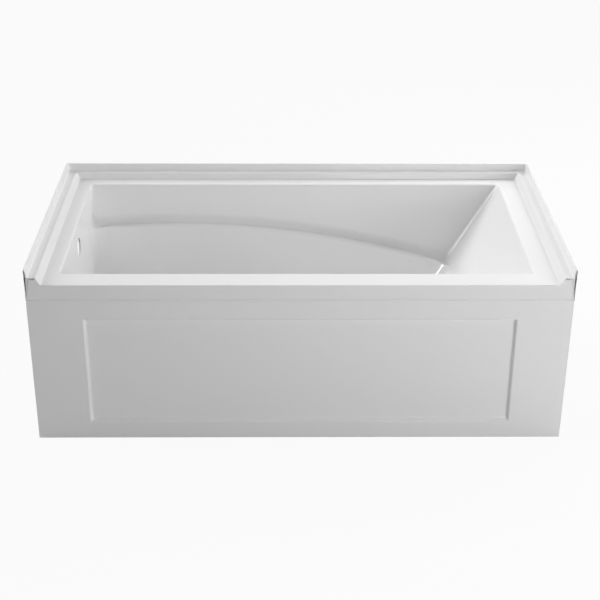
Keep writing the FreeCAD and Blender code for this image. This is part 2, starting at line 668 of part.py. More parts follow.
# ---------------------------------------------------------------------------------------------
# bearers: pressed channels, open downward, screwed under the board
# ---------------------------------------------------------------------------------------------
BEARER_HALF = "(Sizes.bearer_width/2)"
WEB_FOOT = f"({BOARD_FOOT}-Sizes.bearer_sheet)"
TIE_BOLT_REACH = f"({BEARER_REACH}-Sizes.tie_bolt_end)"


def bend(shape, edge):
    """The two long outer bends at the top of a channel."""
    point = middle(edge)
    return (edge.BoundBox.YLength > 100 and abs(point.z - value(BOARD_FOOT)) < 0.01
            and abs(abs(point.x) - value(BEARER_HALF)) < 0.01)


for end, x in BEARERS.items():
    channel = body(f"bearer_{end}_body")
    inner = f"({BEARER_HALF}-Sizes.bearer_sheet)"
    profile = polygon(sketch(channel, f"bearer_{end}_profile", "XZ_Plane"), [
        (f"-{BEARER_HALF}", BEARER_FOOT), (f"-{inner}", BEARER_FOOT), (f"-{inner}", WEB_FOOT),
        (inner, WEB_FOOT), (inner, BEARER_FOOT), (BEARER_HALF, BEARER_FOOT), (BEARER_HALF, BOARD_FOOT),
        (f"-{BEARER_HALF}", BOARD_FOOT)])
    feature(channel, "Pad", f"bearer_{end}_sheet", profile, f"2*{BEARER_REACH}", symmetric=True)
    holes = sketch(channel, f"bearer_{end}_holes", "XY_Plane", BOARD_FOOT)
    for sign in ("-", "+"):
        circle(holes, "0", f"0{sign}{FOOT_REACH}", "Sizes.stud_radius+Sizes.stud_hole_gap")
        circle(holes, "0", f"0{sign}Sizes.board_screw_reach", SCREW_HOLE)
    circle(holes, "0", f"-{TIE_BOLT_REACH}", SCREW_HOLE)
    feature(channel, "Pocket", f"bearer_{end}_drilled", holes)
    round_edges(channel, f"bearer_{end}_bends", size("bearer_bend"), bend)
    node(f"bearer_{end}", move(channel, x, BASIN_MIDDLE))


# ---------------------------------------------------------------------------------------------
# Nuts and screws
# ---------------------------------------------------------------------------------------------
def hexagon_bar(name, flats, height, x, y, z):
    """A hexagon bar with its six corners bevelled at both ends."""
    corner = f"(({flats})/2/cos(30))"
    prism = doc.addObject("Part::Prism", name + "_prism")
    bind(prism, Circumradius=corner, Height=height)
    move(prism, x, y, z)
    disc = cylinder(name + "_disc", corner, height, x, y, z)
    disc = fillet(name + "_bevel", disc, size("hexagon_bevel"),
                  lambda shape, edge: edge.BoundBox.ZLength < 0.01, "Chamfer")
    return common(name + "_hexagon", prism, disc)


def nut(name, flats, height, x, y, z):
    """A hexagon nut with a plain bore."""
    bore = cylinder(name + "_bore", "Sizes.stud_radius+Sizes.thread_clearance", f"{height}+2*{BEYOND}",
                    x, y, f"{z}-{BEYOND}")
    return cut(name, hexagon_bar(name, flats, height, x, y, z), [bore])


def screw(name, x, y, z, axis, turn):
    """A pan-head screw that runs on from a point along its turned axis, with a cross recess."""
    shank = doc.addObject("Part::Cylinder", name + "_shank")
    bind(shank, Radius=size("screw_radius"), Height=size("screw_length"))
    head = doc.addObject("Part::Cylinder", name + "_head")
    bind(head, Radius=size("screw_head"), Height=size("screw_head_height"))
    move(head, "0", "0", "-Sizes.screw_head_height")
    domed = fillet(name + "_domed", head, size("screw_dome"),
                   lambda shape, edge: edge.BoundBox.ZMax < -0.01 and edge.BoundBox.ZLength < 0.01)
    whole = join(name + "_whole", [domed, shank])
    half, wide = "(Sizes.screw_head*0.6)", "(Sizes.screw_head*0.12)"
    depth = (f"-Sizes.screw_head_height-{BEYOND}", "-Sizes.screw_head_height*0.45")
    recess = [box(name + "_recess_x", (f"-{half}", half), (f"-{wide}", wide), depth),
              box(name + "_recess_y", (f"-{wide}", wide), (f"-{half}", half), depth)]
    made = cut(name, whole, recess)
    made.Placement = FreeCAD.Placement(Vector(0, 0, 0), FreeCAD.Rotation(axis, turn))
    return move(made, x, y, z)


FEET = [(x, f"({BASIN_MIDDLE}{sign}{FOOT_REACH})") for x in BEARERS.values() for sign in "-+"]
WELD_NUT_FOOT = f"({WEB_FOOT}-Sizes.nut_height)"
LOCK_NUT_FOOT = f"({WELD_NUT_FOOT}-Sizes.lock_nut_height)"
for kind, height, foot in (("weld", size("nut_height"), WELD_NUT_FOOT),
                           ("lock", size("lock_nut_height"), LOCK_NUT_FOOT)):
    group(f"foot_{kind}_nuts", [nut(f"{kind}_nut_{number}", size("nut_flats"), height, x, y, foot)
                                for number, (x, y) in enumerate(FEET, 1)])

# the screws of the bearers go up through the web into the board
BOARD_SCREWS = [(x, f"{BASIN_MIDDLE}{sign}Sizes.board_screw_reach")
                for x in BEARERS.values() for sign in "-+"]
group("bearer_screws", [screw(f"bearer_screw_{number}", x, y, WEB_FOOT, Vector(0, 0, 1), 0)
                        for number, (x, y) in enumerate(BOARD_SCREWS, 1)])

# ---------------------------------------------------------------------------------------------
# levelling feet: a stud with a hexagon collar stands in the socket of a round pad
# ---------------------------------------------------------------------------------------------
SOCKET_FLOOR = "(Sizes.pad_height-Sizes.stud_tip_length)"
COLLAR_TOP = "(Sizes.pad_height+Sizes.collar_height)"
STUD_TOP = f"({SOCKET_FLOOR}+Sizes.stud_length)"


def turned(owner, name, corners):
    """A round piece: its half outline in (radius, height), turned about the upright axis."""
    made = owner.newObject("PartDesign::Revolution", name)
    drawn = polygon(sketch(owner, name + "_outline", "XZ_Plane"), corners)
    made.Profile = drawn
    made.ReferenceAxis = (drawn, ["V_Axis"])
    made.Angle = 360
    return made


for number, (x, y) in enumerate(FEET, 1):
    pad = body(f"foot_pad_{number}_body")
    socket = "(Sizes.stud_tip+Sizes.thread_clearance)"
    turned(pad, f"foot_pad_{number}_turned", [
        ("0", "0"), ("Sizes.pad_radius-Sizes.pad_edge", "0"),
        (size("pad_radius"), size("pad_edge")), (size("pad_radius"), "Sizes.pad_rim-Sizes.pad_edge"),
        ("Sizes.pad_radius-Sizes.pad_edge", size("pad_rim")),
        ("Sizes.pad_neck+Sizes.pad_edge", "Sizes.pad_height*0.6"),
        (size("pad_neck"), "Sizes.pad_height*0.7"), (size("pad_neck"), "Sizes.pad_height-Sizes.pad_edge"),
        ("Sizes.pad_neck-Sizes.pad_edge", size("pad_height")),
        (socket, size("pad_height")), (socket, SOCKET_FLOOR), ("0", SOCKET_FLOOR)])
    node(f"foot_pad_{number}", move(pad, x, y))

    stud = body(f"foot_stud_{number}_body")
    turned(stud, f"foot_stud_{number}_turned", [
        ("0", SOCKET_FLOOR), ("Sizes.stud_tip-Sizes.pad_edge", SOCKET_FLOOR),
        (size("stud_tip"), f"{SOCKET_FLOOR}+Sizes.pad_edge"), (size("stud_tip"), size("pad_height")),
        (size("stud_radius"), size("pad_height")), (size("stud_radius"), f"{STUD_TOP}-Sizes.pad_edge"),
        ("Sizes.stud_radius-Sizes.pad_edge", STUD_TOP), ("0", STUD_TOP)])
    flats = sketch(stud, f"foot_stud_{number}_flats", "XY_Plane", size("pad_height"))
    collar = hexagon(flats, "0", "0", size("collar_flats"))
    feature(stud, "Pad", f"foot_stud_{number}_collar", collar, size("collar_height"))
    node(f"foot_stud_{number}", move(stud, x, y))

# ---------------------------------------------------------------------------------------------
# apron ties: a bent strap from the top of each bearer down the back of the kick rail
# ---------------------------------------------------------------------------------------------
STRAP_TOP = f"({BOARD_FOOT}+Sizes.tie_sheet)"
STRAP_BACK = f"({RAIL_BACK}+Sizes.tie_sheet)"
BEARER_FRONT = f"({BASIN_MIDDLE}-{BEARER_REACH})"
TIE_BOLT_Y = f"({BASIN_MIDDLE}-{TIE_BOLT_REACH})"


def strap_bend(shape, edge):
    """The outer bend of a strap."""
    point = middle(edge)
    return (edge.BoundBox.XLength > 20 and abs(point.z - value(STRAP_TOP)) < 0.01
            and abs(point.y - value(RAIL_BACK)) < 0.01)


for side, x in TIES.items():
    strap = body(f"tie_{side}_body")
    profile = polygon(sketch(strap, f"tie_{side}_profile", "YZ_Plane"), [
        (RAIL_BACK, f"{STRAP_TOP}-Sizes.tie_drop"), (STRAP_BACK, f"{STRAP_TOP}-Sizes.tie_drop"),
        (STRAP_BACK, BOARD_FOOT), (f"{BEARER_FRONT}+Sizes.tie_lap", BOARD_FOOT),
        (f"{BEARER_FRONT}+Sizes.tie_lap", STRAP_TOP), (RAIL_BACK, STRAP_TOP)])
    feature(strap, "Pad", f"tie_{side}_strap", profile, size("tie_width"), symmetric=True)
    bolt_hole = sketch(strap, f"tie_{side}_bolt_hole", "XY_Plane", STRAP_TOP)
    circle(bolt_hole, "0", TIE_BOLT_Y, SCREW_HOLE)
    feature(strap, "Pocket", f"tie_{side}_bolt_drilled", bolt_hole, "2*Sizes.tie_sheet")
    screw_holes = sketch(strap, f"tie_{side}_screw_holes", "XZ_Plane", f"-{RAIL_BACK}")
    for sign in ("-", "+"):
        circle(screw_holes, f"0{sign}Sizes.tie_screw_spacing/2", TIE_SCREW_Z, SCREW_HOLE)
    feature(strap, "Pocket", f"tie_{side}_screws_drilled", screw_holes, "2*Sizes.tie_sheet")
    round_edges(strap, f"tie_{side}_bend", size("bearer_bend"), strap_bend)
    node(f"apron_tie_{side}", move(strap, x))

tie_bolts = []
for side, x in TIES.items():
    head = hexagon_bar(f"tie_bolt_head_{side}", size("bolt_flats"), size("bolt_head_height"),
                       x, TIE_BOLT_Y, STRAP_TOP)
    shank = cylinder(f"tie_bolt_shank_{side}", size("screw_radius"),
                     "Sizes.bolt_length+Sizes.bolt_head_height/2",
                     x, TIE_BOLT_Y, f"{STRAP_TOP}-Sizes.bolt_length")
    tie_bolts.append(join(f"tie_bolt_{side}", [head, shank]))
group("tie_bolts", tie_bolts)
group("tie_screws", [
    screw(f"tie_screw_{number}", x, STRAP_BACK, TIE_SCREW_Z, Vector(1, 0, 0), 90)
    for number, x in enumerate(tie_screw_places(), 1)])

# ---------------------------------------------------------------------------------------------
# Nothing is written unless every object is sound
# ---------------------------------------------------------------------------------------------
doc.recompute()
faults = [thing.Name for thing in doc.Objects if {"Invalid", "Error"} & set(thing.State)]
faults += [name for name, thing in NODES.items() if thing.Shape.isNull() or not thing.Shape.isValid()]
if faults:
    raise RuntimeError("unsound: " + ", ".join(faults))
for name, thing in NODES.items():
    thing.Shape.exportStep(f"parts/{name}.step")
print(len(NODES), "nodes")
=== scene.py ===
import math

import bmesh
import bpy
import numpy as np
from mathutils import Matrix, Vector


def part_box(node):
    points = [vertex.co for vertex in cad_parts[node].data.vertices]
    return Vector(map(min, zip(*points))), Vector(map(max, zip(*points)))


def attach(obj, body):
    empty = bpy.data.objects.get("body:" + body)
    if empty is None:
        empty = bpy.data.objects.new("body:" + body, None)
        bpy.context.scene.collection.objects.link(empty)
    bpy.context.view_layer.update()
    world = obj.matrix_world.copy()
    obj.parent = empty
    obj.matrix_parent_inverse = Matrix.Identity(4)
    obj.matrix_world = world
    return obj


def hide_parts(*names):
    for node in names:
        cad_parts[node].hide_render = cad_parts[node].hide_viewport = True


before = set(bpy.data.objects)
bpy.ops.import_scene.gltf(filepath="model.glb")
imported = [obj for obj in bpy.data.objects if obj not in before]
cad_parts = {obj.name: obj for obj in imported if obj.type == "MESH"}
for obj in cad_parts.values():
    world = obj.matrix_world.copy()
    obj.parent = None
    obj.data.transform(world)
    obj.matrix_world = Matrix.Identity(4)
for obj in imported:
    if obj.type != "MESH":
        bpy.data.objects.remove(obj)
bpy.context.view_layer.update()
scene = bpy.context.scene

# ---------------------------------------------------------------------------------------------
# The bath's moulding: an acrylic sheet drawn over a tool while hot, then stiffened from behind with
# sprayed glass fibre and resin. Its glossy face shows inside the basin and on the rim; the rough
# laminate shows wherever the bath is seen from below or behind.
# ---------------------------------------------------------------------------------------------
def linear(code):
    """An sRGB hex colour as linear RGBA."""
    parts = np.array([int(code[place:place + 2], 16) for place in (1, 3, 5)]) / 255
    bright = ((parts + 0.055) / 1.055) ** 2.4
    return (*np.where(parts <= 0.04045, parts / 12.92, bright), 1.0)


def add(tree, kind, links=None, **settings):
    """One shader node with its settings; links maps an input to a constant or to an output."""
    made = tree.nodes.new("ShaderNode" + kind)
    for name, setting in settings.items():
        setattr(made, name, setting)
    for name, source in (links or {}).items():
        socket = made.inputs[name]
        if isinstance(source, bpy.types.NodeSocket):
            tree.links.new(source, socket)
        else:
            socket.default_value = source
    return made


def material(name, colour, roughness, **surface):
    """A material with one Principled shader, its node tree, and Object coordinates to read."""
    made = bpy.data.materials.new(name)
    made.use_nodes = True
    tree = made.node_tree
    shader = tree.nodes["Principled BSDF"]
    shader.inputs["Base Color"].default_value = linear(colour)
    shader.inputs["Roughness"].default_value = roughness
    for socket, setting in surface.items():
        shader.inputs[socket.replace("_", " ")].default_value = setting
    return made, tree, shader, add(tree, "TexCoord").outputs["Object"]


def ramp(tree, level, *stops):
    """Colours read off a level from 0 to 1; each stop is a position and a hex colour."""
    made = add(tree, "ValToRGB", {"Fac": level})
    elements = made.color_ramp.elements
    while len(elements) < len(stops):
        elements.new(0.5)
    for element, (position, colour) in zip(elements, stops):
        element.position = position
        element.color = linear(colour)
    return made.outputs["Color"]


def joined(name, node):
    """A CAD node's loose triangles as one joined mesh: corners that share a place, to a
    thousandth of a millimetre, become one point. Shading is smooth where faces meet below 28 degrees."""
    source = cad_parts[node].data
    places = np.empty(len(source.vertices) * 3, dtype=np.float32)
    source.vertices.foreach_get("co", places)
    corners = np.empty(len(source.loops), dtype=np.int32)
    source.loops.foreach_get("vertex_index", corners)
    keys = np.round(places.reshape(-1, 3).astype(float), 6)
    points, index = np.unique(keys, axis=0, return_inverse=True)
    faces = index.reshape(-1)[corners].reshape(-1, 3)
    whole = (faces[:, 0] != faces[:, 1]) & (faces[:, 1] != faces[:, 2]) & (faces[:, 2] != faces[:, 0])
    mesh = bpy.data.meshes.new(name)
    mesh.from_pydata(points.tolist(), [], faces[whole].tolist())
    mesh.polygons.foreach_set("use_smooth", np.ones(len(mesh.polygons), dtype=bool))
    mesh.set_sharp_from_angle(angle=math.radians(28))
    mesh.validate()
    made = bpy.data.objects.new(name, mesh)
    scene.collection.objects.link(made)
    return made


def flat_shaded(piece):
    """Flat faces keep their own direction beside rounded ones."""
    weighted = piece.modifiers.new("flat faces stay flat", "WEIGHTED_NORMAL")
    weighted.keep_sharp = True
    weighted.weight = 100


def rounded(piece, weigh, width, least_turn):
    """Rounds the creases that turn more than least_turn degrees. weigh takes the two ends of every edge,
    as arrays, and gives the share of the width that each is rounded by, 0 for none."""
    one_plane = 0.002
    form = bmesh.new()
    form.from_mesh(piece.data)
    weight = form.edges.layers.float.new("bevel_weight_edge")
    form.edges.ensure_lookup_table()
    ends = np.array([[edge.verts[0].co, edge.verts[1].co] for edge in form.edges])
    turn = np.array([edge.calc_face_angle(0.0) for edge in form.edges])
    share = np.where(turn > math.radians(least_turn), weigh(ends[:, 0], ends[:, 1]), 0.0)
    creases = [form.edges[place] for place in np.flatnonzero(share)]
    for crease, part in zip(creases, share[share > 0]):
        crease[weight] = part
        crease.smooth = True
    # triangles of one plane are joined round the creases, so that the rounding runs evenly
    near = {face for crease in creases for vertex in crease.verts for face in vertex.link_faces}
    inner = [edge for edge in form.edges
             if edge.calc_face_angle(1.0) < one_plane and all(face in near for face in edge.link_faces)]
    bmesh.ops.dissolve_edges(form, edges=inner, use_verts=False)
    form.to_mesh(piece.data)
    form.free()
    roll = piece.modifiers.new("rounded creases", "BEVEL")
    roll.limit_method = "WEIGHT"
    roll.width = width
    roll.segments = 4
    roll.use_clamp_overlap = False


def facing(mesh):
    """The middle and the outward normal of every face, as two arrays."""
    centres = np.empty(len(mesh.polygons) * 3)
    normals = np.empty(len(mesh.polygons) * 3)
    mesh.polygons.foreach_get("center", centres)
    mesh.polygons.foreach_get("normal", normals)
    return centres.reshape(-1, 3), normals.reshape(-1, 3)


# vacuum-formed acrylic: high gloss, with the faint waviness that the laminate pulls into it
acrylic, tree, shader, place = material("acrylic_sheet_vacuum_formed", "#F6F6F6", 0.16, IOR=1.49)
# waves about 40 mm long and an orange peel about 3 mm across
wave = add(tree, "TexNoise", {"Vector": place, "Scale": 1 / 0.040, "Detail": 1.0})
peel = add(tree, "TexNoise", {"Vector": place, "Scale": 1 / 0.003, "Detail": 2.0})
waved = add(tree, "Bump", {"Height": wave.outputs["Fac"], "Strength": 0.05, "Distance": 0.0008})
peeled = add(tree, "Bump", {"Height": peel.outputs["Fac"], "Strength": 0.03, "Distance": 0.0001,
                            "Normal": waved.outputs["Normal"]})
tree.links.new(peeled.outputs["Normal"], shader.inputs["Normal"])

# sprayed glass fibre in resin: matt, milky, with chopped strands 25 mm long lying every way
laminate, tree, shader, place = material("glass_fibre_laminate_sprayed", "#CFC9B8", 0.62, IOR=1.52)
strands = None
for angle in (0.3, 1.4, 2.5):
    turned = add(tree, "Mapping", {"Vector": place, "Rotation": (angle, angle * 0.7, angle * 1.3),
                                   "Scale": (1 / 0.025, 1 / 0.0025, 1 / 0.0025)})
    fibre = add(tree, "TexNoise", {"Vector": turned.outputs["Vector"], "Scale": 1.0, "Detail": 2.0})
    if strands is None:
        strands = fibre.outputs["Fac"]
    else:
        higher = add(tree, "Math", {0: strands, 1: fibre.outputs["Fac"]}, operation="MAXIMUM")
        strands = higher.outputs[0]
tree.links.new(ramp(tree, strands, (0.45, "#BDB6A2"), (0.75, "#E0DCCF")), shader.inputs["Base Color"])
rough = add(tree, "Bump", {"Height": strands, "Strength": 0.6, "Distance": 0.0012})
tree.links.new(rough.outputs["Normal"], shader.inputs["Normal"])

FRONT_PLANE, DECK, FASCIA_FOOT = -0.4065, 0.500, 0.452
# the basin above its armrests: each wall by where it meets the deck and how far it runs in for each
# metre down. The two long walls stand evenly about a middle line.
DRAIN_WALL, BACKREST = (-0.675, 0.03), (0.655, math.tan(math.radians(31)))
LONG_WALL, MIDDLE_LINE = (0.3315, 0.06), 0.002
# the armrest: highest at one x, then falling both ways as a large circle
ARMREST_PEAK, ARMREST_TOP, ARMREST_RADIUS = -0.400, 0.378, 3.0007


def corner_sharpened(points, end, side, given, wanted):
    """Moves the points of one upright corner of the basin so that its radius goes from given to wanted.
    The corner's arc is centred on the line that lies a radius inward of both walls. A point at q from
    the old line goes to q (|q| + wanted - given) / |q| from the new one, inside the arc less in
    proportion, then slides along the corner so that it keeps its height, or on the armrest follows the
    armrest's fall."""
    # the laminate's side moves too, and nothing below the armrests does
    laminate_side, lowest = 0.012, 0.2
    # the armrest's fall is followed up to 20 mm above it, and no longer from 50 mm on
    fades_from, fades_over = 0.050, 0.030
    wall, sign = (DRAIN_WALL, 1) if end < 0 else (BACKREST, -1)
    end_normal = np.array([sign, 0, wall[1]]) / math.hypot(1, wall[1])
    side_normal = np.array([0, -side, LONG_WALL[1]]) / math.hypot(1, LONG_WALL[1])
    from_end = (points - (wall[0], 0, DECK)) @ end_normal
    from_side = (points - (0, MIDDLE_LINE + side * LONG_WALL[0], DECK)) @ side_normal
    cosine = end_normal @ side_normal
    end_part = ((from_end - given) - cosine * (from_side - given)) / (1 - cosine ** 2)
    side_part = ((from_side - given) - cosine * (from_end - given)) / (1 - cosine ** 2)
    away = end_part[:, None] * end_normal + side_part[:, None] * side_normal
    reach = np.maximum(np.linalg.norm(away, axis=1), 1e-9)
    shift = (wanted - given) * ((end_normal + side_normal) / (1 + cosine) + away / reach[:, None])
    shift *= np.minimum(reach / given, 1)[:, None]
    along = np.cross(end_normal, side_normal)
    run = points[:, 0] - ARMREST_PEAK
    fall = run / np.sqrt(ARMREST_RADIUS ** 2 - run ** 2)
    armrest = ARMREST_TOP - ARMREST_RADIUS + np.sqrt(ARMREST_RADIUS ** 2 - run ** 2)
    fall = fall * np.clip((armrest + fades_from - points[:, 2]) / fades_over, 0, 1)
    slide = -(shift[:, 2] + fall * shift[:, 0]) / (along[2] + fall * along[0])
    shift += slide[:, None] * along
    inside = (from_end < given) & (from_side < given) & (reach < given + laminate_side)
    inside &= (points[:, 2] < DECK + 0.0005) & (points[:, 2] > lowest)
    points[inside] += shift[inside]


def front_recessed(mesh):
    """Sets the fascia's front back by 1.5 mm behind a bead that follows its upper outline, over decks,
    steps and ledges. The foot and the lower part of both ends turn in by 4 mm over 5 mm instead."""
    bead_width, set_back = 0.0025, 0.0015
    end, end_top, foot_top = 0.7585, 0.515, FASCIA_FOOT + 0.0030
    form = bmesh.new()
    form.from_mesh(mesh)
    front = [face for face in form.faces
             if face.normal.y < -0.999 and abs(face.calc_center_median().y - FRONT_PLANE) < 0.0001]
    outline = {vertex for face in front for vertex in face.verts}
    bmesh.ops.inset_region(form, faces=front, thickness=bead_width, depth=0.0)
    bead = {vertex for face in front for vertex in face.verts}
    bmesh.ops.inset_region(form, faces=front, thickness=bead_width, depth=-set_back)
    for vertices, turned_in in ((outline, 0.0040), (bead, 0.0021)):
        for vertex in vertices:
            at_end = abs(vertex.co.x) > end and vertex.co.z < end_top
            if at_end or vertex.co.z < foot_top:
                vertex.co.y = FRONT_PLANE + turned_in
    # the flange's ends are narrower than the bead
    for vertex in form.verts:
        if vertex.co.y < FRONT_PLANE:
            vertex.co.y = FRONT_PLANE + set_back
    form.to_mesh(mesh)
    form.free()


def armrest_rim(start, stop):
    """The rim of both armrests on the basin's side, where an edge's two ends are an armrest's radius from
    its centre: full along the wall, fading out over 40 mm at either end."""
    first, last, fade = -0.650, 0.486, 0.040
    share = 1.0
    for place in (start, stop):
        reach = np.hypot(place[:, 0] - ARMREST_PEAK, place[:, 2] - ARMREST_TOP + ARMREST_RADIUS)
        share = share * (np.abs(reach - ARMREST_RADIUS) < 0.0006)
    middle = (start[:, 0] + stop[:, 0]) / 2
    return share * np.clip((middle - first) / fade, 0, 1) * np.clip((last - middle) / fade, 0, 1)


moulding = joined("moulding", "bath_shell")
places = np.empty(len(moulding.data.vertices) * 3)
moulding.data.vertices.foreach_get("co", places)
places = places.reshape(-1, 3)
for end in (-1, 1):
    for side in (-1, 1):
        corner_sharpened(places, end, side, given=0.030, wanted=0.012)
moulding.data.vertices.foreach_set("co", places.reshape(-1))
moulding.data.update()
front_recessed(moulding.data)
rounded(moulding, armrest_rim, width=0.010, least_turn=30)
flat_shaded(moulding)
moulding.data.materials.append(acrylic)
moulding.data.materials.append(laminate)
centres, normals = facing(moulding.data)
# the acrylic is on every face that looks towards a point above the basin, and on the fascia's front
above_basin = np.array([0.0, 0.0, 1.2])
shows = ((above_basin - centres) * normals).sum(axis=1) > 0
shows |= (centres[:, 1] < FRONT_PLANE + 0.004) & (normals[:, 1] < -0.05)
moulding.data.polygons.foreach_set("material_index", np.where(shows, 0, 1).astype(np.int32))
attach(moulding, "bath")
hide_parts("bath_shell")

# ---------------------------------------------------------------------------------------------
# The base board: raw chipboard under the basin's floor, bonded into the laminate. Its faces and sawn
# edges show the flakes of wood that it is pressed from.
# ---------------------------------------------------------------------------------------------
# flakes about 4 mm long and 2 mm wide, each with its own tone
chipboard, tree, shader, place = material("chipboard_pressed_raw", "#C2A77E", 0.82, IOR=1.5)
bent = add(tree, "TexNoise", {"Vector": place, "Scale": 1 / 0.012, "Detail": 2.0})
shifted = add(tree, "VectorMath", {0: bent.outputs["Color"], 1: (0.004, 0.004, 0.004)},
              operation="MULTIPLY")
moved = add(tree, "VectorMath", {0: place, 1: shifted.outputs["Vector"]}, operation="ADD")
flat = add(tree, "Mapping", {"Vector": moved.outputs["Vector"],
                             "Scale": (1 / 0.004, 1 / 0.0018, 1 / 0.0012)})
flake = add(tree, "TexVoronoi", {"Vector": flat.outputs["Vector"], "Scale": 1.0})
tone = add(tree, "SeparateColor", {"Color": flake.outputs["Color"]})
tree.links.new(ramp(tree, tone.outputs[0], (0.0, "#A58A60"), (0.35, "#C1A57C"), (0.8, "#D0B78F"),
                    (1.0, "#DFCBA9")), shader.inputs["Base Color"])
pressed = add(tree, "Bump", {"Height": flake.outputs["Distance"], "Strength": 0.5, "Distance": 0.0004})
tree.links.new(pressed.outputs["Normal"], shader.inputs["Normal"])
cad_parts["bottom_board"].material_slots[0].material = chipboard

# ---------------------------------------------------------------------------------------------
# The bearers and the apron ties: channel and strap folded from hot-dip galvanised sheet, with the
# feathery zinc crystals that grow as the coating cools.
# ---------------------------------------------------------------------------------------------
# crystals about 9 mm across, each with its own brightness and gloss
galvanised, tree, shader, place = material("galvanised_sheet_hot_dipped", "#B9BDBF", 0.42, Metallic=1.0)
feather = add(tree, "TexNoise", {"Vector": place, "Scale": 1 / 0.004, "Detail": 3.0})
pull = add(tree, "VectorMath", {0: feather.outputs["Color"], 1: (0.003, 0.003, 0.003)},
           operation="MULTIPLY")
grown = add(tree, "VectorMath", {0: place, 1: pull.outputs["Vector"]}, operation="ADD")
crystal = add(tree, "TexVoronoi", {"Vector": grown.outputs["Vector"], "Scale": 1 / 0.009})
tone = add(tree, "SeparateColor", {"Color": crystal.outputs["Color"]})
tree.links.new(ramp(tree, tone.outputs[0], (0.0, "#A4A9AC"), (0.5, "#B9BEC0"), (1.0, "#CDD0D1")),
               shader.inputs["Base Color"])
gloss = add(tree, "MapRange", {"Value": tone.outputs[1], "To Min": 0.32, "To Max": 0.52})
tree.links.new(gloss.outputs["Result"], shader.inputs["Roughness"])
facet = add(tree, "Bump", {"Height": tone.outputs[2], "Strength": 0.12, "Distance": 0.0001})
tree.links.new(facet.outputs["Normal"], shader.inputs["Normal"])

for number, node in enumerate(("bearer_drain_end", "bearer_backrest_end",
                               "apron_tie_left", "apron_tie_right"), start=1):
    sheet = joined(f"folded_sheet_{number}", node)
    flat_shaded(sheet)
    sheet.data.materials.append(galvanised)
    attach(sheet, "bath")
    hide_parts(node)

# ---------------------------------------------------------------------------------------------
# The screws, bolts and nuts: cold-formed steel, barrel plated with bright zinc, whose clear
# passivation leaves a slight blue and straw bloom.
# ---------------------------------------------------------------------------------------------
plated, tree, shader, place = material("steel_zinc_plated_bright", "#C3C6C8", 0.3, Metallic=1.0)
# bloom in patches of 6 mm, and tumbling marks 0.8 mm across
bloom = add(tree, "TexNoise", {"Vector": place, "Scale": 1 / 0.006, "Detail": 2.0})
tree.links.new(ramp(tree, bloom.outputs["Fac"], (0.3, "#BBC2CA"), (0.55, "#C8CACA"), (0.75, "#CEC8B8")),
               shader.inputs["Base Color"])
tumbled = add(tree, "TexNoise", {"Vector": place, "Scale": 1 / 0.0008, "Detail": 2.0})
gloss = add(tree, "MapRange", {"Value": tumbled.outputs["Fac"], "To Min": 0.22, "To Max": 0.40})
tree.links.new(gloss.outputs["Result"], shader.inputs["Roughness"])
marks = add(tree, "Bump", {"Height": tumbled.outputs["Fac"], "Strength": 0.15, "Distance": 0.0001})
tree.links.new(marks.outputs["Normal"], shader.inputs["Normal"])

for number, node in enumerate(("bearer_screws", "foot_weld_nuts", "foot_lock_nuts",
                               "tie_bolts", "tie_screws"), start=1):
    hardware = joined(f"plated_hardware_{number}", node)
    flat_shaded(hardware)
    hardware.data.materials.append(plated)
    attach(hardware, "bath")
    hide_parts(node)

# ---------------------------------------------------------------------------------------------
# The levelling studs: M10 rod with a rolled thread of 1.5 mm pitch, a hexagon collar to turn it by
# and a plain tip that swivels in the pad. Plated like the nuts.
# ---------------------------------------------------------------------------------------------
def stacked(name, rings):
    """A closed surface from rings of points, lowest first: ring after ring joined by quads, the
    first and the last closed to their middles. rings is an array of rows, columns and xyz."""
    rows, columns, _ = rings.shape
    middles = np.array([rings[0].mean(axis=0), rings[-1].mean(axis=0)])
    points = np.concatenate([rings.reshape(-1, 3), middles])
    row, column = np.meshgrid(np.arange(rows - 1), np.arange(columns), indexing="ij")
    here = row * columns + column
    beside = row * columns + (column + 1) % columns
    quads = np.stack([here, beside, beside + columns, here + columns], axis=-1).reshape(-1, 4)
    around = np.arange(columns)
    after = (around + 1) % columns
    low = np.stack([after, around, np.full(columns, rows * columns)], axis=-1)
    high = np.stack([around + (rows - 1) * columns, after + (rows - 1) * columns,
                     np.full(columns, rows * columns + 1)], axis=-1)
    mesh = bpy.data.meshes.new(name)
    mesh.from_pydata(points.tolist(), [], quads.tolist() + low.tolist() + high.tolist())
    mesh.polygons.foreach_set("use_smooth", np.ones(len(mesh.polygons), dtype=bool))
    mesh.set_sharp_from_angle(angle=math.radians(32))
    made = bpy.data.objects.new(name, mesh)
    scene.collection.objects.link(made)
    return made


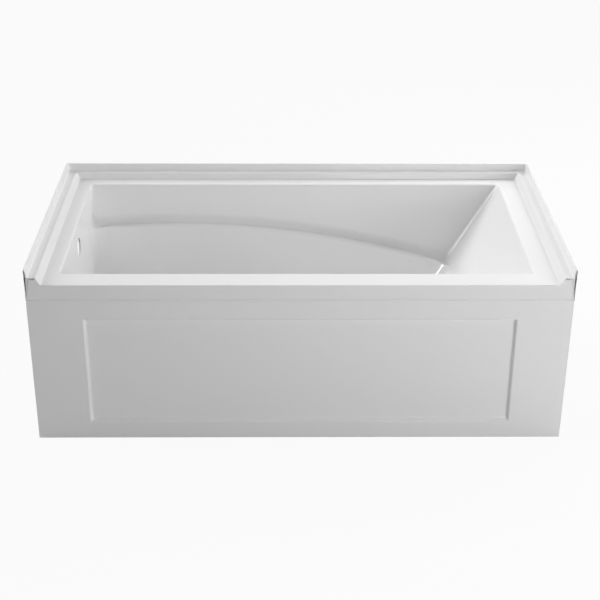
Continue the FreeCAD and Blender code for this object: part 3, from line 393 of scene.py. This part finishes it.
def stud_rings(low, middle_x, middle_y, top):
    """Radius as a function of angle a and height z. Tip: a 4 mm rod with a bevelled end. Collar: a
    hexagon, apothem / cos(a folded into one sixth), cut by cones at both ends. Thread: 5 mm less 0.9 mm
    times a trapezoid wave of z / pitch - a / 2 pi, so it climbs right-handed, with a bevelled end."""
    pitch, crest, depth = 0.0015, 0.0050, 0.0009
    tip, apothem, collar_corner, around = 0.0040, 0.007, 0.0090, 48
    tip_top, collar_top = low + 0.012, low + 0.018
    angle = np.linspace(0, 2 * np.pi, around, endpoint=False)
    hexagon = apothem / np.cos((angle + np.pi / 6) % (np.pi / 3) - np.pi / 6)
    rod = [(low, 0.0030), (low + 0.0006, 0.0038), (low + 0.0012, tip), (tip_top, tip)]
    collar = [(tip_top, 0.0068), (tip_top + 0.0004, 0.0073), (tip_top + 0.0012, collar_corner),
              (collar_top - 0.0012, collar_corner), (collar_top - 0.0004, 0.0073), (collar_top, 0.0068)]
    heights = [np.full(around, z) for z, _ in rod + collar]
    radii = [np.full(around, r) for _, r in rod] + [np.minimum(hexagon, r) for _, r in collar]
    steps = np.arange(collar_top, top, pitch / 8)
    wave = np.abs((steps[:, None] / pitch - angle[None, :] / (2 * np.pi)) % 1.0 - 0.5) * 2
    cut = depth * np.clip((wave - 0.12) / 0.68, 0, 1)
    # the thread runs out at the collar over one pitch, and the free end is bevelled over 1.2 mm
    run_out = np.clip((steps - collar_top) / pitch, 0, 1)[:, None]
    bevel = np.clip((top - steps) / 0.0012, 0, 1)[:, None]
    thread = np.minimum(crest - cut * run_out, tip + (crest - tip) * bevel)
    z = np.concatenate([np.array(heights), np.repeat(steps[:, None], around, axis=1),
                        np.full((1, around), top)])
    r = np.concatenate([np.array(radii), thread, np.full((1, around), 0.0039)])
    return np.stack([middle_x + r * np.cos(angle), middle_y + r * np.sin(angle), z], axis=-1)


for number in range(1, 5):
    low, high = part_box(f"foot_stud_{number}")
    stud = stacked(f"levelling_stud_{number}", stud_rings(low[2], (low[0] + high[0]) / 2,
                                                          (low[1] + high[1]) / 2, high[2]))
    stud.data.materials.append(plated)
    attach(stud, f"foot_stud_{number}")
    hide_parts(f"foot_stud_{number}")

# ---------------------------------------------------------------------------------------------
# The pads under the studs: black nylon, injection moulded, with a socket for the stud's tip and
# ribbed rings underneath that grip the floor.
# ---------------------------------------------------------------------------------------------
nylon, tree, shader, place = material("nylon_moulded_black", "#1C1C1E", 0.42, IOR=1.53)
# spark-eroded texture of the mould, drawn at 0.6 mm
grain = add(tree, "TexNoise", {"Vector": place, "Scale": 1 / 0.0006, "Detail": 2.0})
gloss = add(tree, "MapRange", {"Value": grain.outputs["Fac"], "To Min": 0.36, "To Max": 0.52})
tree.links.new(gloss.outputs["Result"], shader.inputs["Roughness"])
eroded = add(tree, "Bump", {"Height": grain.outputs["Fac"], "Strength": 0.2, "Distance": 0.0001})
tree.links.new(eroded.outputs["Normal"], shader.inputs["Normal"])


def pad_rings(low, middle_x, middle_y):
    """A half outline in (radius, height) turned about the upright axis. Underneath, grooves 0.8 mm deep
    leave raised rings; then a rounded rim, a concave cone up to the neck, and down into the socket."""
    rim_middle, rim_round, neck, neck_round, around = 0.0264, 0.0020, 0.0120, 0.0011, 72
    under = [(0.004, 0.0), (0.0085, 0.0), (0.0091, 0.0008), (0.0119, 0.0008), (0.0125, 0.0),
             (0.0165, 0.0), (0.0171, 0.0008), (0.0199, 0.0008), (0.0205, 0.0)]
    turn = np.linspace(-90, 90, 9) * math.pi / 180
    rim = np.stack([rim_middle + 0.0016 * np.cos(turn), rim_round + rim_round * np.sin(turn)], axis=1)
    rise = np.linspace(0, 1, 9)[1:]
    cone = np.stack([rim_middle - (rim_middle - neck) * rise, 0.0040 + 0.0072 * rise ** 1.5], axis=1)
    turn = np.linspace(0, 90, 6) * math.pi / 180
    shoulder = np.stack([neck - neck_round + neck_round * np.cos(turn),
                         0.0160 - neck_round + neck_round * np.sin(turn)], axis=1)
    socket = [(0.0046, 0.0160), (0.0041, 0.0155), (0.0041, 0.0040), (0.0015, 0.0040)]
    outline = np.concatenate([under, rim, cone, shoulder, socket])
    angle = np.linspace(0, 2 * np.pi, around, endpoint=False)
    r, z = outline[:, :1], np.repeat(outline[:, 1:], around, axis=1)
    return np.stack([middle_x + r * np.cos(angle), middle_y + r * np.sin(angle), low + z], axis=-1)


for number in range(1, 5):
    low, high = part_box(f"foot_pad_{number}")
    pad = stacked(f"levelling_pad_{number}", pad_rings(low[2], (low[0] + high[0]) / 2,
                                                       (low[1] + high[1]) / 2))
    pad.data.materials.append(nylon)
    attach(pad, f"foot_pad_{number}")
    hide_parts(f"foot_pad_{number}")

# ---------------------------------------------------------------------------------------------
# The timber: softwood battens bonded under the rim, and the kick rail in the apron's foot. Sawn
# pine, with growth rings about 3 mm apart and a fine fibre along each bar.
# ---------------------------------------------------------------------------------------------
def pine(node, along):
    """Rings round a pith that lies beside and below the bar, stretched along the bar, so that its sides
    show long figure and its ends show arcs. along is 0 for a bar in x and 1 for a bar in y."""
    made, tree, shader, place = material(f"pine_sawn_{node}", "#D8B98A", 0.68, IOR=1.5)
    off_centre, ring_width, stretched = 0.045, 0.0032, 0.03
    low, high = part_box(node)
    pith = [(a + b) / 2 - off_centre for a, b in zip(low, high)]
    stretch = [1.0, 1.0, 1.0]
    stretch[along] = stretched
    centred = add(tree, "VectorMath", {0: place, 1: tuple(-value for value in pith)}, operation="ADD")
    long = add(tree, "VectorMath", {0: centred.outputs["Vector"], 1: tuple(stretch)},
               operation="MULTIPLY")
    sway = add(tree, "TexNoise", {"Vector": long.outputs["Vector"], "Scale": 1 / 0.03, "Detail": 1.0})
    reach = add(tree, "VectorMath", {0: long.outputs["Vector"]}, operation="LENGTH")
    rings = add(tree, "MapRange", {"Value": reach.outputs["Value"], "From Max": ring_width}, clamp=False)
    bent = add(tree, "Math", {0: sway.outputs["Fac"], 1: 4.0, 2: rings.outputs["Result"]},
               operation="MULTIPLY_ADD")
    ring = add(tree, "Math", {0: bent.outputs[0]}, operation="FRACT")
    # early wood is pale and wide, late wood is a dark line that stops sharply
    wood = ramp(tree, ring.outputs[0], (0.0, "#DFC396"), (0.55, "#D3B17E"), (0.9, "#B5854F"),
                (1.0, "#D9BB8C"))
    fine = [1 / 0.0006] * 3
    fine[along] = 1 / 0.035
    hair = add(tree, "Mapping", {"Vector": place, "Scale": tuple(fine)})
    fibre = add(tree, "TexNoise", {"Vector": hair.outputs["Vector"], "Scale": 1.0, "Detail": 2.0})
    shade = add(tree, "MapRange", {"Value": fibre.outputs["Fac"], "To Min": 0.84, "To Max": 1.1})
    toned = add(tree, "VectorMath", {0: wood, 3: shade.outputs["Result"]}, operation="SCALE")
    tree.links.new(toned.outputs["Vector"], shader.inputs["Base Color"])
    sawn = add(tree, "Bump", {"Height": fibre.outputs["Fac"], "Strength": 0.35, "Distance": 0.0002})
    tree.links.new(sawn.outputs["Normal"], shader.inputs["Normal"])
    return made


for node, along in (("batten_front", 0), ("batten_back", 0), ("batten_drain_end", 1),
                    ("batten_backrest_end", 1), ("apron_kick_rail", 0)):
    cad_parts[node].material_slots[0].material = pine(node, along)

# ---------------------------------------------------------------------------------------------
# The apron: the same acrylic and laminate, formed as a separate front with a recessed panel and
# bonded behind the fascia.
# ---------------------------------------------------------------------------------------------
def bent_edges(form, chosen, width):
    """Rounds the edges between two points that chosen accepts, by the same width on both sides."""
    edges = [edge for edge in form.edges if edge.calc_face_angle(0.0) > SHARP
             and all(chosen(vertex.co) for vertex in edge.verts)]
    bmesh.ops.bevel(form, geom=edges, offset=width, offset_type="OFFSET", segments=5, profile=0.5,
                    affect="EDGES", clamp_overlap=False)


def on_outline(place, plane):
    """Whether a point lies on the panel's outline in the plane of the margins or of the panel."""
    within = abs(place.x) < PANEL_HALF + NEAR and PANEL_FOOT - NEAR < place.z < PANEL_TOP + NEAR
    return within and abs(place.y - plane) < 0.0001


APRON_FRONT, PANEL_FRONT = -0.4045, -0.3955
# the panel's outline on the margins: half its length, its foot and its top
PANEL_HALF, PANEL_FOOT, PANEL_TOP, NEAR = 0.611, 0.053, 0.395, 0.001
# an edge is drawn sharp where its faces turn by more than this, in radians
SHARP = 0.5

apron = joined("apron", "apron_panel")
form = bmesh.new()
form.from_mesh(apron.data)
bmesh.ops.dissolve_limit(form, angle_limit=0.001, verts=form.verts, edges=form.edges)
# the panel's flanks, 12 mm wide in the CAD model, are drawn 6 mm wide, as in the photograph
for vertex in form.verts:
    place = vertex.co
    for plane, outward in ((APRON_FRONT, -0.003), (PANEL_FRONT, 0.003)):
        if on_outline(place, plane):
            place.x += outward * math.copysign(1, place.x)
            place.z += outward * math.copysign(1, place.z - (PANEL_FOOT + PANEL_TOP) / 2)
# the outlines, where the flanks begin and where they end, and the apron's top under the fascia
bent_edges(form, lambda place: on_outline(place, APRON_FRONT) or on_outline(place, PANEL_FRONT), 0.0025)
bent_edges(form, lambda place: abs(place.y - APRON_FRONT) < 0.0001 and place.z > FASCIA_FOOT - NEAR,
           0.004)
# the flanks meet in mitres that stay sharp, so that each keeps its own light
for edge in form.edges:
    run = edge.verts[1].co - edge.verts[0].co
    turn = edge.calc_face_angle(0.0)
    mitre = min(abs(run.x), abs(run.z)) > 0.2 * run.length and turn > 0.05
    edge.smooth = turn < SHARP and not mitre
form.to_mesh(apron.data)
form.free()
flat_shaded(apron)
apron.data.materials.append(acrylic)
apron.data.materials.append(laminate)
centres, normals = facing(apron.data)
apron.data.polygons.foreach_set("material_index", np.where(normals[:, 1] < -0.05, 0, 1).astype(np.int32))
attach(apron, "bath")
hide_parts("apron_panel")

# ---------------------------------------------------------------------------------------------
# The stiffeners behind the apron: birch plywood, a stile behind each flat margin and three ribs
# behind the recessed panel. Veneers 1.4 mm thick show as stripes on the sawn edges.
# ---------------------------------------------------------------------------------------------
def plywood(name, through):
    """Flat birch figure on the two broad faces, and stripes of face and cross veneer on the edges.
    through is the axis that the veneers are stacked along, 0 for x and 1 for y."""
    made, tree, shader, place = material(name, "#D9C09A", 0.6, IOR=1.5)
    veneer = 0.0014
    axes = add(tree, "SeparateXYZ", {"Vector": place})
    layer = add(tree, "Math", {0: axes.outputs[through], 1: veneer}, operation="DIVIDE")
    whole = add(tree, "Math", {0: layer.outputs[0]}, operation="FLOOR")
    odd = add(tree, "Math", {0: whole.outputs[0], 1: 2.0}, operation="FLOORED_MODULO")
    grain = add(tree, "Mapping", {"Vector": place, "Scale": (1 / 0.0011, 1 / 0.0011, 1 / 0.030)})
    figure = add(tree, "TexNoise", {"Vector": grain.outputs["Vector"], "Scale": 1.0, "Detail": 3.0})
    face = ramp(tree, figure.outputs["Fac"], (0.3, "#C9AA7C"), (0.55, "#DCC39C"), (0.8, "#E6D2B0"))
    edge = ramp(tree, odd.outputs[0], (0.0, "#C79F6B"), (1.0, "#8F673C"))
    normal = add(tree, "SeparateXYZ", {"Vector": add(tree, "NewGeometry").outputs["Normal"]})
    straight = add(tree, "Math", {0: normal.outputs[through]}, operation="ABSOLUTE")
    broad = add(tree, "Math", {0: straight.outputs[0], 1: 0.7}, operation="GREATER_THAN")
    mixed = add(tree, "MixRGB", {"Fac": broad.outputs[0], "Color1": edge, "Color2": face})
    tree.links.new(mixed.outputs["Color"], shader.inputs["Base Color"])
    sawn = add(tree, "Bump", {"Height": figure.outputs["Fac"], "Strength": 0.25, "Distance": 0.0002})
    tree.links.new(sawn.outputs["Normal"], shader.inputs["Normal"])
    return made


stile_ply = plywood("birch_plywood_sawn_stiles", 1)
rib_ply = plywood("birch_plywood_sawn_ribs", 0)
for node in ("apron_stile_left", "apron_stile_right"):
    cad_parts[node].material_slots[0].material = stile_ply
for node in ("apron_rib_left", "apron_rib_middle", "apron_rib_right"):
    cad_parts[node].material_slots[0].material = rib_ply

# ---------------------------------------------------------------------------------------------
# The room: a pale matt floor that runs on behind the bath, and an even surround. The camera sees both
# as white. What lights the bath from them is less: a light grey floor and a dim surround.
# ---------------------------------------------------------------------------------------------
ground = bpy.data.meshes.new("floor")
ground.from_pydata([(-20, -20, 0), (20, -20, 0), (20, 20, 0), (-20, 20, 0)], [], [(0, 1, 2, 3)])
floor = bpy.data.objects.new("floor", ground)
scene.collection.objects.link(floor)

# painted board: matt, with no sheen; seven hundredths of its shadows are left where the camera sees it
white_floor, tree, shader = material("studio_floor_matt_white", "#CACACA", 0.9,
                                     Specular_IOR_Level=0.0)[:3]
glow = add(tree, "Emission", {"Strength": 1.0})
seen = add(tree, "LightPath")
share = add(tree, "Math", {0: seen.outputs["Is Camera Ray"], 1: 0.93}, operation="MULTIPLY")
mixed = add(tree, "MixShader", {0: share.outputs[0], 1: shader.outputs[0], 2: glow.outputs[0]})
tree.links.new(mixed.outputs[0], tree.nodes["Material Output"].inputs["Surface"])
ground.materials.append(white_floor)

# the surround is white where it is seen directly, through something clear or in gloss, and gives a
# tenth of that as light on matt faces
world = bpy.data.worlds.new("surround")
scene.world = world
world.use_nodes = True
tree = world.node_tree
seen = add(tree, "LightPath")
clear = add(tree, "Math", {0: seen.outputs["Is Camera Ray"], 1: seen.outputs["Is Transmission Ray"]},
            operation="MAXIMUM")
clear = add(tree, "Math", {0: clear.outputs[0], 1: seen.outputs["Is Glossy Ray"]}, operation="MAXIMUM")
level = add(tree, "MapRange", {"Value": clear.outputs[0], "To Min": 0.1, "To Max": 1.0})
tree.links.new(level.outputs["Result"], tree.nodes["Background"].inputs["Strength"])
tree.nodes["Background"].inputs["Color"].default_value = (1, 1, 1, 1)

# ---------------------------------------------------------------------------------------------
# The lamps: three broad suns, from the left, from behind and low from the front right, and four soft
# square lamps near the bath, which fill in its right side, its front and its top.
# ---------------------------------------------------------------------------------------------
def lamp(name, kind, where, aim, **settings):
    """A lamp at a place, turned towards another."""
    data = bpy.data.lights.new(name, kind)
    for key, setting in settings.items():
        setattr(data, key, setting)
    made = bpy.data.objects.new(name, data)
    made.location = where
    made.rotation_euler = (Vector(aim) - Vector(where)).to_track_quat("-Z", "Y").to_euler()
    scene.collection.objects.link(made)
    return made


middle, wide, narrower = (0.0, 0.0, 0.4), math.radians(30), math.radians(25)
lamp("left", "SUN", (-3.38, 0.78, 2.4), middle, energy=1.65, angle=wide)
lamp("back", "SUN", (0.0, 2.83, 3.23), middle, energy=0.7, angle=wide)
lamp("low_front_right", "SUN", (2.72, -2.72, 1.49), middle, energy=0.38, angle=narrower)
for name, where, aim, energy, size in (
        ("near_back_right", (2.4, 1.2, 2.0), (0.2, 0.0, 0.4), 43, 1.2),
        ("near_front_right", (2.4, -2.4, 0.8), (0.1, -0.4, 0.3), 20, 1.0),
        ("front", (0.7, -2.6, 0.5), (0.2, -0.4, 0.15), 6.5, 0.9),
        ("overhead", (0.0, 0.0, 3.2), middle, 6, 1.5)):
    lamp(name, "AREA", where, aim, energy=energy, shape="SQUARE", size=size)
# a tall narrow lamp, seen in gloss only: the bright line along the corner of backrest and back wall
streak = lamp("tall_left", "AREA", (-2.9, -1.04, 1.38), (0.6, 0.33, 0.35), energy=65,
              shape="RECTANGLE", size=0.3, size_y=0.9)
streak.visible_diffuse = False

# ---------------------------------------------------------------------------------------------
# The camera: where the photograph was taken from, 3.2 m in front of the apron and 2.1 m up, with a
# 77 mm lens on a 36 mm frame.
# ---------------------------------------------------------------------------------------------
yaw, pitch, roll = (math.radians(angle) for angle in (0.869, 27.08, 0.371))
forward = Vector((math.sin(yaw) * math.cos(pitch), math.cos(yaw) * math.cos(pitch), -math.sin(pitch)))
level_right = Vector((math.cos(yaw), -math.sin(yaw), 0))
level_up = level_right.cross(forward)
right = level_right * math.cos(roll) + level_up * math.sin(roll)
up = level_up * math.cos(roll) - level_right * math.sin(roll)
data = bpy.data.cameras.new("photo_camera")
data.sensor_width = 36
data.lens = 77.29
camera = bpy.data.objects.new("photo_camera", data)
camera.matrix_world = Matrix.Translation((-0.05068, -3.58772, 2.08105)) @ Matrix(
    (right, up, -forward)).transposed().to_4x4()
scene.collection.objects.link(camera)
scene.camera = camera
scene.view_settings.view_transform = "Standard"
